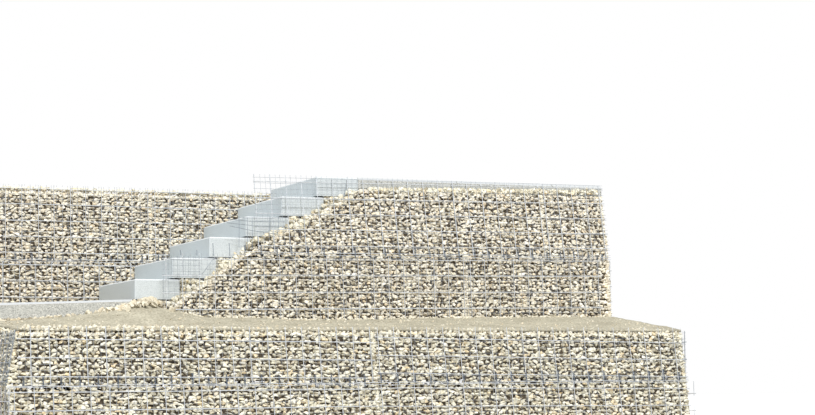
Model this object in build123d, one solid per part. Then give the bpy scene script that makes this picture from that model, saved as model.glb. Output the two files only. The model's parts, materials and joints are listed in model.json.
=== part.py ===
from build123d import *
from math import cos, radians, sin, tan
import os

# Terraced gabion wall with a flight of block steps between two upper tiers.
# Millimetres. X runs along the wall, Y from the front to the back, Z up.
# The model is laid out from the left end of the wall, the lower seam of the
# front face and the ground, and is then moved to its bottom centre.

# Welded mesh
mesh_pitch = 150.0
wire_diameter = 5.0
mesh_clearance = 0.3
panel_wire_count = 20
corner_margin = 112.5
joint_margin = 32.0
panel_joint = 6.0
seam_gap = 10.0

# Lower tier
lower_base_height = 750.0
lower_batter = 9.7
lower_rim_height = 440.0
lower_mesh_above_rim = 30.0
lower_end_flare = 90.0
terrace_depth = 1345.0
terrace_rise = 120.0
lower_base_first_row = 118.5
lower_top_first_row = 75.0

# Upper tier, in front of the steps
upper_batter_base = 3.3
upper_batter_top = 11.4
upper_base_height = 600.0
upper_base_start = 1546.0
upper_base_first_row = 105.0
upper_base_wire_count = 20
upper_base_right_wire_count = 10
upper_top_start = 2345.0
upper_top_left_margin = 92.0
upper_top_first_row = 87.0
upper_top_wire_count = 20
upper_top_right_wire_count = 5
upper_mesh_above_crest = 97.0

# Flight of steps
step_count = 6
step_height = 177.5
step_depth = 406.0
step_length = 1265.0
step_rise = 191.2
step_run = 339.5
step_chamfer = 6.0
flight_start = 1350.0
flight_setback = 205.0
first_step_lift = 190.0
toe_offset = 87.0
seam_offset = 939.0
crest_offset = 412.0
crest_height = 84.0

# Rear tier, behind the steps
rear_batter = 3.9
rear_thickness = 735.0
rear_gap = 6.0
rear_top_height = 662.0
rear_mesh_above_rim = 47.0
rear_corner_margin = 41.0
rear_left_wire_count = 13
rear_right_wire_count = 9
rear_base_first_row = 259.0
rear_top_first_row = 73.0

# Kerb stones and beds
kerb_width = 80.0
kerb_bevel = 22.0
kerb_joint = 3.0
top_kerb_length = 1000.0
top_kerb_count = 3
top_kerb_height = 180.0
path_kerb_height = 135.0
path_slope = 2.0
sand_thickness = 15.0
sand_back_thickness = 17.0
sand_left_rise = 15.0
sand_mound = 125.0
bed_below_kerb = 18.0
path_level_drop = 20.0

# Worked out from the sizes above
panel_length = corner_margin + (panel_wire_count - 1) * mesh_pitch + joint_margin
wall_length = 2 * panel_length + panel_joint
lower_split = panel_length + panel_joint / 2
lower_rim = lower_base_height + lower_rim_height
upper_foot = lower_rim + terrace_rise
upper_seam = upper_foot + upper_base_height
flight_front = terrace_depth + flight_setback
flight_back = flight_front + step_length
mesh_reach = mesh_clearance + wire_diameter
rear_front = flight_back + rear_gap + mesh_reach
wall_back = rear_front + rear_thickness
rear_top = upper_seam + rear_top_height
lower_foot_y = -lower_base_height * tan(radians(lower_batter))
front_reach = lower_foot_y - mesh_reach * cos(radians(lower_batter))
first_step_bottom = upper_foot + first_step_lift
landing_base = first_step_bottom + (step_count - 1) * step_rise
crest_level = landing_base + crest_height
flight_end = flight_start + (step_count - 1) * step_run + step_depth
to_bottom_centre = Pos(-(wall_length - lower_end_flare) / 2, -(wall_back + front_reach) / 2, 0)


def along_x(profile, start, end):
    """Solid with a Y-Z profile, from one X to another."""
    face = make_face(Polyline(*profile, close=True))
    return extrude(Plane.YZ.offset(start) * face, end - start)


def along_y(profile, start, end):
    """Solid with an X-Z profile, from one Y to another."""
    face = make_face(Polyline(*profile, close=True))
    return extrude(Plane.XZ.offset(-start) * face, start - end)


def block(x0, x1, y0, y1, z0, z1):
    return Pos(x0, y0, z0) * Box(x1 - x0, y1 - y0, z1 - z0, align=(Align.MIN,) * 3)


def write(name, solid):
    export_step(to_bottom_centre * solid, f"parts/{name}.step")


# Faces that lean back

def lower_face(z):
    """Y of the lower tier's stone face at a height."""
    return (z - lower_base_height) * tan(radians(lower_batter))


def upper_face(z):
    """Y of the upper tier's stone face at a height, steeper below its seam."""
    base_lean = tan(radians(upper_batter_base))
    top_lean = tan(radians(upper_batter_top))
    above_seam = max(z - upper_seam, 0)
    below_seam = min(z, upper_seam) - upper_foot
    return terrace_depth + below_seam * base_lean + above_seam * top_lean


def rear_face(z):
    """Y of the rear tier's stone face at a height."""
    return rear_front + (z - upper_foot) * tan(radians(rear_batter))


# Welded mesh panels

def wire_outline(xs, ys, left, right, bottom, top):
    """Outline of a grid of wires whose ends stand out on all four sides."""
    half = wire_diameter / 2
    points = []
    for x in xs:
        points += [(x - half, ys[0] - half)]
        if bottom < ys[0] - half:
            points += [(x - half, bottom), (x + half, bottom)]
        points += [(x + half, ys[0] - half)]
    for y in ys:
        points += [(xs[-1] + half, y - half), (right, y - half)]
        points += [(right, y + half), (xs[-1] + half, y + half)]
    for x in reversed(xs):
        points += [(x + half, ys[-1] + half), (x + half, top)]
        points += [(x - half, top), (x - half, ys[-1] + half)]
    for y in reversed(ys):
        points += [(xs[0] - half, y + half), (left, y + half)]
        points += [(left, y - half), (xs[0] - half, y - half)]
    unique = [p for n, p in enumerate(points) if p != points[n - 1]]
    return Wire.make_polygon([Vector(*p) for p in unique], close=True)


def mesh_openings(xs, ys):
    """One rectangle for each opening between neighbouring wires."""
    half = wire_diameter / 2
    openings = []
    for x0, x1 in zip(xs, xs[1:]):
        for y0, y1 in zip(ys, ys[1:]):
            corners = [(x0 + half, y0 + half), (x1 - half, y0 + half)]
            corners += [(x1 - half, y1 - half), (x0 + half, y1 - half)]
            openings.append(Wire.make_polygon([Vector(*c) for c in corners], close=True))
    return openings


def panel_rows(first_row, height):
    """Heights of the horizontal wires on a panel, from its foot upwards."""
    count = int((height - first_row - wire_diameter) / mesh_pitch) + 1
    return [first_row + n * mesh_pitch for n in range(count)]


def mesh_panel(face_y, foot, batter, left, margins, wire_count, first_row, rise, footed=False):
    """Welded panel that leans on a stone face, from its foot up to a rise above it."""
    lean = radians(batter)
    outward = Vector(0, -cos(lean), sin(lean))
    foot_point = Vector(left, face_y, foot) + outward * mesh_clearance
    height = rise / cos(lean)
    xs = [margins[0] + n * mesh_pitch for n in range(wire_count)]
    ys = panel_rows(first_row, height)
    bottom = 0 if footed else ys[0] - wire_diameter / 2
    outline = wire_outline(xs, ys, 0, xs[-1] + margins[1], bottom, height)
    sheet = Face(outline, mesh_openings(xs, ys))
    standing = Plane(foot_point, x_dir=(1, 0, 0), z_dir=outward)
    return extrude(standing * sheet, wire_diameter)


def lower_meshes():
    base_rise = lower_base_height - seam_gap
    top_rise = lower_rim_height + lower_mesh_above_rim
    flared_margin = lower_end_flare + corner_margin - mesh_pitch
    left_panels = [
        ("lower_base_mesh_left", 0, -lower_end_flare, flared_margin, panel_wire_count + 1,
         lower_base_first_row, base_rise),
        ("lower_top_mesh_left", lower_base_height, 0, corner_margin, panel_wire_count,
         lower_top_first_row, top_rise),
    ]
    for name, foot, start, margin, count, first_row, rise in left_panels:
        write(name, mesh_panel(lower_face(foot), foot, lower_batter, start, (margin, joint_margin),
                               count, first_row, rise))
    right_panels = [
        ("lower_base_mesh_right", 0, lower_base_first_row, base_rise),
        ("lower_top_mesh_right", lower_base_height, lower_top_first_row, top_rise),
    ]
    for name, foot, first_row, rise in right_panels:
        write(name, mesh_panel(lower_face(foot), foot, lower_batter, panel_length + panel_joint,
                               (joint_margin, corner_margin), panel_wire_count, first_row, rise))


def panel_end(start, left_margin, wire_count):
    """X at which a panel's horizontal wires end on its right."""
    return start + left_margin + (wire_count - 1) * mesh_pitch + joint_margin


def upper_meshes():
    base_rise = upper_base_height - seam_gap
    top_rise = crest_level + upper_mesh_above_crest - upper_seam
    courses = [
        ("upper_base_mesh", upper_foot, upper_batter_base, upper_base_start, joint_margin,
         upper_base_wire_count, upper_base_right_wire_count, upper_base_first_row, base_rise, True),
        ("upper_top_mesh", upper_seam, upper_batter_top, upper_top_start, upper_top_left_margin,
         upper_top_wire_count, upper_top_right_wire_count, upper_top_first_row, top_rise, False),
    ]
    for name, foot, batter, start, margin, count, right_count, first_row, rise, footed in courses:
        face_y = upper_face(foot)
        left = mesh_panel(face_y, foot, batter, start, (margin, joint_margin), count,
                          first_row, rise, footed)
        write(f"{name}_left", left)
        right_start = panel_end(start, margin, count) + panel_joint
        right = mesh_panel(face_y, foot, batter, right_start, (joint_margin, joint_margin),
                           right_count, first_row, rise, footed)
        write(f"{name}_right", right)


def rear_meshes():
    margins = (rear_corner_margin, joint_margin)
    base = mesh_panel(rear_face(upper_foot), upper_foot, rear_batter, 0, margins,
                      rear_left_wire_count, rear_base_first_row, upper_base_height - seam_gap)
    write("rear_base_mesh", base)
    face_y = rear_face(upper_seam)
    rise = rear_top_height + rear_mesh_above_rim
    left = mesh_panel(face_y, upper_seam, rear_batter, 0, margins, rear_left_wire_count,
                      rear_top_first_row, rise)
    write("rear_top_mesh_left", left)
    right_start = panel_end(0, rear_corner_margin, rear_left_wire_count) + panel_joint
    right = mesh_panel(face_y, upper_seam, rear_batter, right_start, (joint_margin, joint_margin),
                       rear_right_wire_count, rear_top_first_row, rise)
    write("rear_top_mesh_right", right)


# Stone fill of the baskets

def flared_end():
    """Room of the lower tier's left half, whose end leans in from the seam to the upper foot."""
    corners = [(-lower_end_flare, 0), (lower_split, 0), (lower_split, upper_foot)]
    corners += [(0, upper_foot), (-lower_end_flare, lower_base_height)]
    return along_y(corners, lower_foot_y, wall_back)


def lower_stones():
    base = [(lower_foot_y, 0), (terrace_depth, 0)]
    base += [(terrace_depth, lower_base_height), (0, lower_base_height)]
    top = [(0, lower_base_height), (terrace_depth, lower_base_height)]
    top += [(terrace_depth, upper_foot), (lower_face(lower_rim), lower_rim)]
    back_base = [(terrace_depth, 0), (wall_back, 0)]
    back_base += [(wall_back, lower_base_height), (terrace_depth, lower_base_height)]
    back_top = [(terrace_depth, lower_base_height), (wall_back, lower_base_height)]
    back_top += [(wall_back, upper_foot), (terrace_depth, upper_foot)]
    courses = [
        ("lower_base_stones", base),
        ("lower_top_stones", top),
        ("back_base_stones", back_base),
        ("back_top_stones", back_top),
    ]
    for name, profile in courses:
        left = along_x(profile, -lower_end_flare, lower_split)
        write(f"{name}_left", left & flared_end())
        write(f"{name}_right", along_x(profile, lower_split, wall_length))


def step_start(n):
    return flight_start + n * step_run


def step_bottom(n):
    return first_step_bottom + n * step_rise


def flight_profile(low, high, right):
    """X-Z outline of the fill between two levels, with a ledge under each step."""
    ledges = []
    for n in range(step_count):
        level = min(step_bottom(n), high)
        if level > low:
            ledges.append((step_start(n) + step_depth, level))
    first = step_count - len(ledges)
    left = flight_start if first == 0 else step_start(first - 1) + step_depth
    points = [(left, low), (right, low), (right, high)]
    for n in range(len(ledges) - 1, 0, -1):
        end_below, level_below = ledges[n - 1]
        if ledges[n][1] > level_below:
            points += [(end_below, ledges[n][1]), (end_below, level_below)]
    return points + [(left, ledges[0][1])]


def slope_x(z):
    """X at which the loose stones in front of the steps reach a height, flatter above the seam."""
    toe = flight_start + toe_offset
    knee = flight_start + seam_offset
    crest = step_start(step_count - 1) + crest_offset
    if z < upper_seam:
        return toe + (knee - toe) * (z - upper_foot) / upper_base_height
    return knee + (crest - knee) * (z - upper_seam) / (crest_level - upper_seam)


def upper_course(low, high, crest, right, end):
    """Fill of one upper course: behind the mesh, under the steps and up to the rear tier."""
    under_steps = along_y(flight_profile(low, high, end), flight_front, rear_front)
    slope = [(slope_x(low), low), (end, low), (end, crest), (slope_x(crest), crest)]
    behind_mesh = along_y(slope, upper_face(low), flight_front)
    face = [(upper_face(low), low), (rear_front, low), (rear_front, crest), (upper_face(crest), crest)]
    whole = (under_steps + behind_mesh) & along_x(face, 0, end)
    left = whole & block(0, right, 0, wall_back, low, crest)
    return left, whole & block(right, end, 0, wall_back, low, crest)


def upper_stones():
    base_split = panel_end(upper_base_start, joint_margin, upper_base_wire_count)
    top_split = panel_end(upper_top_start, upper_top_left_margin, upper_top_wire_count)
    base = upper_course(upper_foot, upper_seam, upper_seam, base_split, wall_length)
    top = upper_course(upper_seam, landing_base, crest_level, top_split, wall_length)
    for name, (left, right) in (("upper_base_stones", base), ("upper_top_stones", top)):
        write(f"{name}_left", left)
        write(f"{name}_right", right)


def rear_stones():
    split = panel_end(0, rear_corner_margin, rear_left_wire_count) + panel_joint / 2
    base = [(rear_front, upper_foot), (wall_back, upper_foot)]
    base += [(wall_back, upper_seam), (rear_face(upper_seam), upper_seam)]
    top = [(rear_face(upper_seam), upper_seam), (wall_back, upper_seam)]
    top += [(wall_back, rear_top), (rear_face(rear_top), rear_top)]
    for name, profile in (("rear_base_stones", base), ("rear_top_stones", top)):
        write(f"{name}_left", along_x(profile, 0, split))
        write(f"{name}_right", along_x(profile, split, wall_length))


# Steps, kerbs and beds

def steps():
    for n in range(step_count):
        start = step_start(n)
        bottom = step_bottom(n)
        solid = block(start, start + step_depth, flight_front, flight_back, bottom, bottom + step_height)
        top_edges = solid.faces().sort_by(Axis.Z)[-1].edges()
        write(f"step_{n + 1}", chamfer(top_edges, step_chamfer))


def kerb_section(front, bottom, height):
    """Y-Z section of a kerb stone with a bevelled top front edge."""
    back = front + kerb_width
    top = bottom + height
    section = [(front, bottom), (back, bottom), (back, top)]
    return section + [(front + kerb_bevel, top), (front, top - kerb_bevel)]


def top_kerbs():
    section = kerb_section(flight_front, landing_base, top_kerb_height)
    for n in range(top_kerb_count):
        start = flight_end + kerb_joint + n * (top_kerb_length + kerb_joint)
        last = n == top_kerb_count - 1
        end = wall_length if last else start + top_kerb_length
        write(f"top_kerb_{n + 1}", along_x(section, start, end))


def path():
    """Sloping kerb stone and the bed of the path behind it, up to the first step."""
    fall = tan(radians(path_slope))
    length = (flight_start - kerb_joint) / cos(radians(path_slope))
    low_end = first_step_bottom - flight_start * fall - path_kerb_height
    section = kerb_section(0, 0, path_kerb_height)
    kerb = Pos(0, flight_front, low_end) * Rot(0, -path_slope, 0) * along_x(section, 0, length)
    write("path_kerb", kerb & block(0, flight_start - kerb_joint, 0, wall_back, 0, rear_top))
    bed_top = first_step_bottom - path_level_drop
    profile = [(0, upper_foot), (flight_start, upper_foot), (flight_start, bed_top)]
    profile += [(0, bed_top - flight_start * fall)]
    bed = along_y(profile, flight_front, rear_front - mesh_reach - mesh_clearance)
    write("path_bed", bed - kerb)


def terrace_sand():
    """Thin sloping bed on the lower tier."""
    front = lower_face(lower_rim + sand_thickness)
    back = terrace_depth - mesh_reach - mesh_clearance
    rim = lower_rim + sand_thickness
    stone_rise = terrace_rise / (terrace_depth - lower_face(lower_rim))
    under_front = lower_rim + (front - lower_face(lower_rim)) * stone_rise
    under_back = lower_rim + (back - lower_face(lower_rim)) * stone_rise
    strip = [(front, under_front), (back, under_back), (back, upper_foot + sand_back_thickness), (front, rim)]
    return along_x(strip, 0, wall_length)


def sand_mound_fill():
    """Sand in front of the path kerb, higher towards the first step."""
    low = [(0, upper_foot), (flight_start, upper_foot)]
    high = [(flight_start, upper_foot + sand_mound), (0, upper_foot + sand_left_rise)]
    return along_y(low + high, terrace_depth, flight_front)


def landing():
    start = flight_end + kerb_joint
    top = landing_base + top_kerb_height - bed_below_kerb
    back = rear_face(landing_base)
    bed = block(start, wall_length, flight_front + kerb_width, back, landing_base, top)
    write("landing_bed", bed)


def main():
    os.makedirs("parts", exist_ok=True)
    lower_stones()
    upper_stones()
    rear_stones()
    lower_meshes()
    upper_meshes()
    rear_meshes()
    steps()
    top_kerbs()
    path()
    write("terrace_sand", terrace_sand())
    write("path_sand", sand_mound_fill())
    landing()


main()
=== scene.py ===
import json
import math
import random
import bpy
import bmesh
from mathutils import Matrix, Vector, noise
from mathutils.bvhtree import BVHTree

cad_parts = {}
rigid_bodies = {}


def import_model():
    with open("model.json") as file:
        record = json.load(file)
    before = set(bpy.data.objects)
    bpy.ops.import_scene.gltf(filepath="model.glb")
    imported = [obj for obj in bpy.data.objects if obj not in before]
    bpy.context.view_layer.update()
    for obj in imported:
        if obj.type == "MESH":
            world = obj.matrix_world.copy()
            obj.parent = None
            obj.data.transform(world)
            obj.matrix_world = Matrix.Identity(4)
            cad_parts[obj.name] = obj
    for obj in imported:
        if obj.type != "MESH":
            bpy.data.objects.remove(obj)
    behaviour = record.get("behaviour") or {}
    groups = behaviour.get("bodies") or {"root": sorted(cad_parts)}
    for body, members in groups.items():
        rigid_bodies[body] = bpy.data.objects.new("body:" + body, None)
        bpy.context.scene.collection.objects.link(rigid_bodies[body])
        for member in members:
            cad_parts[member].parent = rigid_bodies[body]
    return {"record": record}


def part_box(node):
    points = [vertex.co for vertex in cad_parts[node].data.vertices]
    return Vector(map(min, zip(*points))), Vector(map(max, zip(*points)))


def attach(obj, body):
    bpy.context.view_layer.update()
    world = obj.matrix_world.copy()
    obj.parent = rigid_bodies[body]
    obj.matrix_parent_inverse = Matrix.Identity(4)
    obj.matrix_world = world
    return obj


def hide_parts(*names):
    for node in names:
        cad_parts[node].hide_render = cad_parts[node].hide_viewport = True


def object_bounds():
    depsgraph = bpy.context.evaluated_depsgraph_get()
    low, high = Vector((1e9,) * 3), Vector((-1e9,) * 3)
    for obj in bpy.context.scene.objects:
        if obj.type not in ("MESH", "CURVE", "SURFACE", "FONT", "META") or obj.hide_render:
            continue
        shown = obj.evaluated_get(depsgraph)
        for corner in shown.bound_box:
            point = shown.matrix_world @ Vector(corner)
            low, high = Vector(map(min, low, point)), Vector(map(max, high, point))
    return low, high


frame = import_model()
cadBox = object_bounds()

# Wall metres: x from the left end, y from the lower seam of the front face, z from the ground;
# leans are in degrees
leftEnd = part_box("rear_base_stones_left")[0][0]
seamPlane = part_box("lower_top_stones_left")[0][1]
wall = {
    "length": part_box("lower_base_stones_right")[1][0] - leftEnd,
    "back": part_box("back_base_stones_left")[1][1] - seamPlane,
    "seam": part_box("lower_base_stones_left")[1][2],
    "rim": 1.190,                                                  # top of the lower front edge
    "foot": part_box("upper_base_stones_left")[0][2],
    "upperSeam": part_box("upper_base_stones_left")[1][2],
    "crest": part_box("upper_top_stones_left")[1][2],
    "rearTop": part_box("rear_top_stones_left")[1][2],
    "terrace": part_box("back_base_stones_left")[0][1] - seamPlane,
    "rearFront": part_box("rear_base_stones_left")[0][1] - seamPlane,
    "flightFront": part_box("step_1")[0][1] - seamPlane,
    "flare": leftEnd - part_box("lower_base_stones_left")[0][0],     # lower tier's left end leans out
    "lowerLean": 9.7, "upperBaseLean": 3.3, "upperTopLean": 11.4, "rearLean": 3.9,
}


def atWall(x, y, z):
    return Vector((leftEnd + x, seamPlane + y, z))


def lean(degrees):
    return math.tan(math.radians(degrees))


def share(part):
    return min(1, max(0, part))


def flareAt(z):
    return wall["flare"] * share((wall["foot"] - z) / (wall["foot"] - wall["seam"]))


def lowerFace(z):
    return (z - wall["seam"]) * lean(wall["lowerLean"])


def upperFace(z):
    below = min(z, wall["upperSeam"]) - wall["foot"]
    above = max(z - wall["upperSeam"], 0)
    return wall["terrace"] + below * lean(wall["upperBaseLean"]) + above * lean(wall["upperTopLean"])


def rearFace(z):
    return wall["rearFront"] + (z - wall["foot"]) * lean(wall["rearLean"])


# Camera, where the photograph was taken
camera = {"x": -3.182, "y": -15.163, "z": 0.763, "yaw": 23.10, "pitch": 5.06, "roll": -0.53,
          "lens": 86.75, "sensor": 36}


def addCamera():
    yaw, pitch, roll = (math.radians(camera[k]) for k in ("yaw", "pitch", "roll"))
    ahead = Vector((math.sin(yaw) * math.cos(pitch), math.cos(yaw) * math.cos(pitch), math.sin(pitch)))
    right = Vector((math.cos(yaw), -math.sin(yaw), 0))
    up = right.cross(ahead)
    across = right * math.cos(roll) + up * math.sin(roll)
    upward = up * math.cos(roll) - right * math.sin(roll)
    data = bpy.data.cameras.new("camera")
    data.lens = camera["lens"]
    data.sensor_width = camera["sensor"]
    data.sensor_fit = "HORIZONTAL"
    data.clip_end = 200
    made = bpy.data.objects.new("camera", data)
    turn = Matrix((across, upward, -ahead)).transposed().to_4x4()
    made.matrix_world = Matrix.Translation(atWall(camera["x"], camera["y"], camera["z"])) @ turn
    bpy.context.collection.objects.link(made)
    bpy.context.scene.camera = made


addCamera()
print("camera placed")


# Node kit: a value is a socket that can be added, multiplied and so on
class Value:
    def __init__(self, kit, socket):
        self.kit, self.socket = kit, socket

    def maths(self, operation, first, second):
        return self.kit.node("Math", {"operation": operation}, {0: first, 1: second})

    def __add__(self, other):
        return self.maths("ADD", self, other)

    def __radd__(self, other):
        return self.maths("ADD", other, self)

    def __sub__(self, other):
        return self.maths("SUBTRACT", self, other)

    def __rsub__(self, other):
        return self.maths("SUBTRACT", other, self)

    def __mul__(self, other):
        return self.maths("MULTIPLY", self, other)

    def __rmul__(self, other):
        return self.maths("MULTIPLY", other, self)

    def __gt__(self, other):
        return self.maths("GREATER_THAN", self, other)


class NodeKit:
    def __init__(self, tree):
        self.tree = tree

    def feed(self, socket, value):
        if isinstance(value, Value):
            self.tree.links.new(value.socket, socket)
        elif hasattr(socket.default_value, "__len__") and len(socket.default_value) > len(value):
            socket.default_value = (*value, 1)        # a colour is given without its alpha
        else:
            socket.default_value = value

    def node(self, kind, settings=None, sockets=None, out=0):
        made = self.tree.nodes.new("ShaderNode" + kind)
        for key, value in (settings or {}).items():
            if key == "stops":
                ramp = made.color_ramp.elements
                while len(ramp) < len(value):
                    ramp.new(0.5)
                for stop, (place, color) in zip(ramp, value):
                    stop.position = place
                    stop.color = (*color, 1)
            else:
                setattr(made, key, value)
        for key, value in (sockets or {}).items():
            self.feed(made.inputs[key], value)
        return Value(self, made.outputs[out])


class Finish(NodeKit):
    def __init__(self, name, **shader):
        self.material = bpy.data.materials.new(name)
        self.material.use_nodes = True
        super().__init__(self.material.node_tree)
        self.shader = self.tree.nodes["Principled BSDF"]
        for key, value in shader.items():
            self.feed(self.shader.inputs[key], value)

    def place(self):
        return self.node("TexCoord", out="Object")

    def noise(self, scale, detail=2.0):
        return self.node("TexNoise", sockets={"Vector": self.place(), "Scale": scale, "Detail": detail})

    def chips(self, scale):
        # one random tone a cell, and the distance from the cell's middle
        cells = [self.node("TexVoronoi", sockets={"Vector": self.place(), "Scale": scale}, out=out)
                 for out in ("Color", "Distance")]
        return self.node("SeparateColor", sockets={0: cells[0]}, out=0), cells[1]

    def ramp(self, value, stops):
        return self.node("ValToRGB", {"stops": stops}, {0: value})

    def mix(self, amount, first, second, blend="MIX"):
        return self.node("Mix", {"data_type": "RGBA", "blend_type": blend},
                         {0: amount, 6: first, 7: second}, out=2)

    def bump(self, height, strength, distance):
        made = self.node("Bump", sockets={"Strength": strength, "Distance": distance, "Height": height})
        self.feed(self.shader.inputs["Normal"], made)

    def color(self, value):
        self.feed(self.shader.inputs["Base Color"], value)


# Gravel: broken limestone, one shade a stone
gravelShades = [
    (0.00, (0.360, 0.330, 0.250)), (0.10, (0.520, 0.490, 0.385)), (0.24, (0.680, 0.655, 0.545)),
    (0.40, (0.770, 0.745, 0.625)), (0.56, (0.870, 0.845, 0.720)), (0.70, (0.940, 0.920, 0.830)),
    (0.80, (0.800, 0.660, 0.440)), (0.86, (0.910, 0.865, 0.720)), (0.94, (0.620, 0.625, 0.575)),
    (1.00, (0.960, 0.950, 0.880)),
]
heapShades = [
    (0.0, (0.260, 0.235, 0.180)), (0.3, (0.560, 0.530, 0.440)), (0.6, (0.690, 0.665, 0.580)),
    (0.8, (0.640, 0.550, 0.410)), (1.0, (0.780, 0.765, 0.690)),
]
fleckShades = [(0.36, (0.30, 0.30, 0.30)), (0.64, (0.70, 0.70, 0.70))]
shadowShades = [(0.3, (0.034, 0.026, 0.017)), (0.7, (0.085, 0.067, 0.045))]
# Multiplied in: painted shade on the facets that face down, and painted shade on what lies deeper behind
# the open side of the fill
paintedUndersideShade = [(0.15, (0.66, 0.65, 0.63)), (0.40, (0.92, 0.92, 0.91)), (0.55, (1, 1, 1))]
paintedCreviceShade = [(0.47, (1, 1, 1)), (0.57, (0.70, 0.64, 0.54)), (0.68, (0.15, 0.12, 0.08))]
depthScale = 20                                   # takes metres of depth to the stops of paintedCreviceShade


def gravelFinish(name, shades, dustAndLightShare, dustAndLightColor=(0.66, 0.58, 0.43)):
    finish = Finish(name, Roughness=0.88)
    tone = finish.node("Attribute", {"attribute_name": "tone"}, out="Fac")
    stone = finish.ramp(tone, shades)
    veins = finish.noise(38, 4)
    grain = finish.noise(260, 3)
    stone = finish.mix(veins * 0.6, stone, (0.50, 0.455, 0.36), "OVERLAY")
    stone = finish.mix(grain * 0.25, stone, (0.70, 0.62, 0.48))
    stone = finish.mix(0.75, stone, finish.ramp(finish.noise(115, 2), fleckShades), "OVERLAY")
    # mixed toward a second colour: a dusty colour on the heap and edge stones, painted light and shade on
    # the two basket copies
    stone = finish.mix(dustAndLightShare, stone, dustAndLightColor)
    # painted shade: darker where a facet faces down and where a stone lies deeper behind the open side
    rise = finish.node("SeparateXYZ", sockets={0: finish.node("NewGeometry", out="Normal")}, out=2)
    stone = finish.mix(1.0, stone, finish.ramp(rise * 0.5 + 0.5, paintedUndersideShade), "MULTIPLY")
    deep = finish.node("Attribute", {"attribute_name": "deep"}, out="Fac")
    finish.color(finish.mix(1.0, stone, finish.ramp(deep * depthScale, paintedCreviceShade), "MULTIPLY"))
    finish.bump(veins + grain * 0.35, 0.55, 0.006)
    return finish.material


def paintedShadeFinish():
    # painted shade: a dark surface behind the stones, standing in for the shadow in the gaps between them
    finish = Finish("gravelShade", Roughness=0.95)
    finish.color(finish.ramp(finish.noise(30), shadowShades))
    return finish.material


# The same gravel in two copies: the lower and back baskets' copy a little darker, painted shade; the upper
# and rear baskets' copy paler, painted light
gravelMaterial = gravelFinish("gravelStone", gravelShades, 0.06)
litUpperGravelMaterial = gravelFinish("upperGravelStone", gravelShades, 0.24, (1.00, 0.89, 0.77))
dustyShadedMaterial = gravelFinish("dustyStone", gravelShades, 0.50, (0.56, 0.51, 0.40))
heapMaterial = gravelFinish("heapStone", heapShades, 0.18)
paintedShadeMaterial = paintedShadeFinish()


def newPiece(name, bm, materials, nodes=(), smooth=False):
    mesh = bpy.data.meshes.new(name)
    bm.to_mesh(mesh)
    bm.free()
    return meshPiece(name, mesh, materials, nodes, smooth)


def meshPiece(name, mesh, materials, nodes=(), smooth=False):
    for material in materials:
        mesh.materials.append(material)
    if smooth:
        mesh.shade_smooth()
    piece = bpy.data.objects.new(name, mesh)
    bpy.context.collection.objects.link(piece)
    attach(piece, "root")
    if nodes:
        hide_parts(*nodes)
    return piece


# Lines of (x, z) that the tops of the fill follow
fillLines = {
    "rim": ((0.0, 1.204), (1.2, 1.200), (2.0, 1.186), (6.1, 1.180)),
    "slope": ((1.437, 1.330), (1.653, 1.460), (1.927, 1.650), (2.204, 1.858), (2.411, 2.020),
              (2.762, 2.160), (3.095, 2.345), (3.256, 2.430), (3.424, 2.530), (3.6, 2.53)),
    "crest": ((3.5, 2.531), (5.523, 2.576), (6.1, 2.586)),
}


def levelAt(x, steps):
    for (x0, z0), (x1, z1) in zip(steps, steps[1:]):
        if x0 <= x <= x1:
            return z0 + (z1 - z0) * (x - x0) / (x1 - x0)
    return steps[-1][1]


# Stones: a few broken shapes, placed row by row over every open side of a basket
gravel = {
    "shapes": 14, "corners": 12, "plainShapes": 6, "plainCorners": 8, "squareness": 0.62,
    "across": 0.040, "rise": 0.0275, "jitter": 0.32,
    "width": (0.037, 0.071), "height": (0.0235, 0.0425), "depth": (0.034, 0.052),
    "tilt": 0.30, "turn": 0.35, "setBack": 0.006, "looseDepth": 0.006,
    "coreDepth": 0.034, "edge": 0.034, "joint": 0.006, "cover": 0.016,
    "rimMargin": 0.02, "slopeShare": 0.75,            # depths below the terrace and below the slope
}


def brokenStone(seed):
    rng = random.Random(seed)
    bm = bmesh.new()
    for _ in range(gravel["corners"] if seed < gravel["shapes"] else gravel["plainCorners"]):
        way = Vector((rng.gauss(0, 1), rng.gauss(0, 1), rng.gauss(0, 1))).normalized()
        squareness = max(abs(way.x), abs(way.y), abs(way.z))
        bm.verts.new(way * (0.5 / squareness ** gravel["squareness"]) * rng.uniform(0.86, 1.0))
    hull = bmesh.ops.convex_hull(bm, input=bm.verts)
    inner = [v for v in set(hull["geom_interior"] + hull["geom_unused"])
             if isinstance(v, bmesh.types.BMVert)]
    bmesh.ops.delete(bm, geom=inner, context="VERTS")
    bmesh.ops.recalc_face_normals(bm, faces=bm.faces)
    mesh = bpy.data.meshes.new("brokenStone")
    bm.to_mesh(mesh)
    bm.free()
    return mesh


stoneShapes = bpy.data.collections.new("stoneShapes")
for shapeNumber in range(gravel["shapes"] + gravel["plainShapes"]):
    shapeObject = bpy.data.objects.new(f"stoneShape{shapeNumber:02d}", brokenStone(shapeNumber))
    stoneShapes.objects.link(shapeObject)


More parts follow.
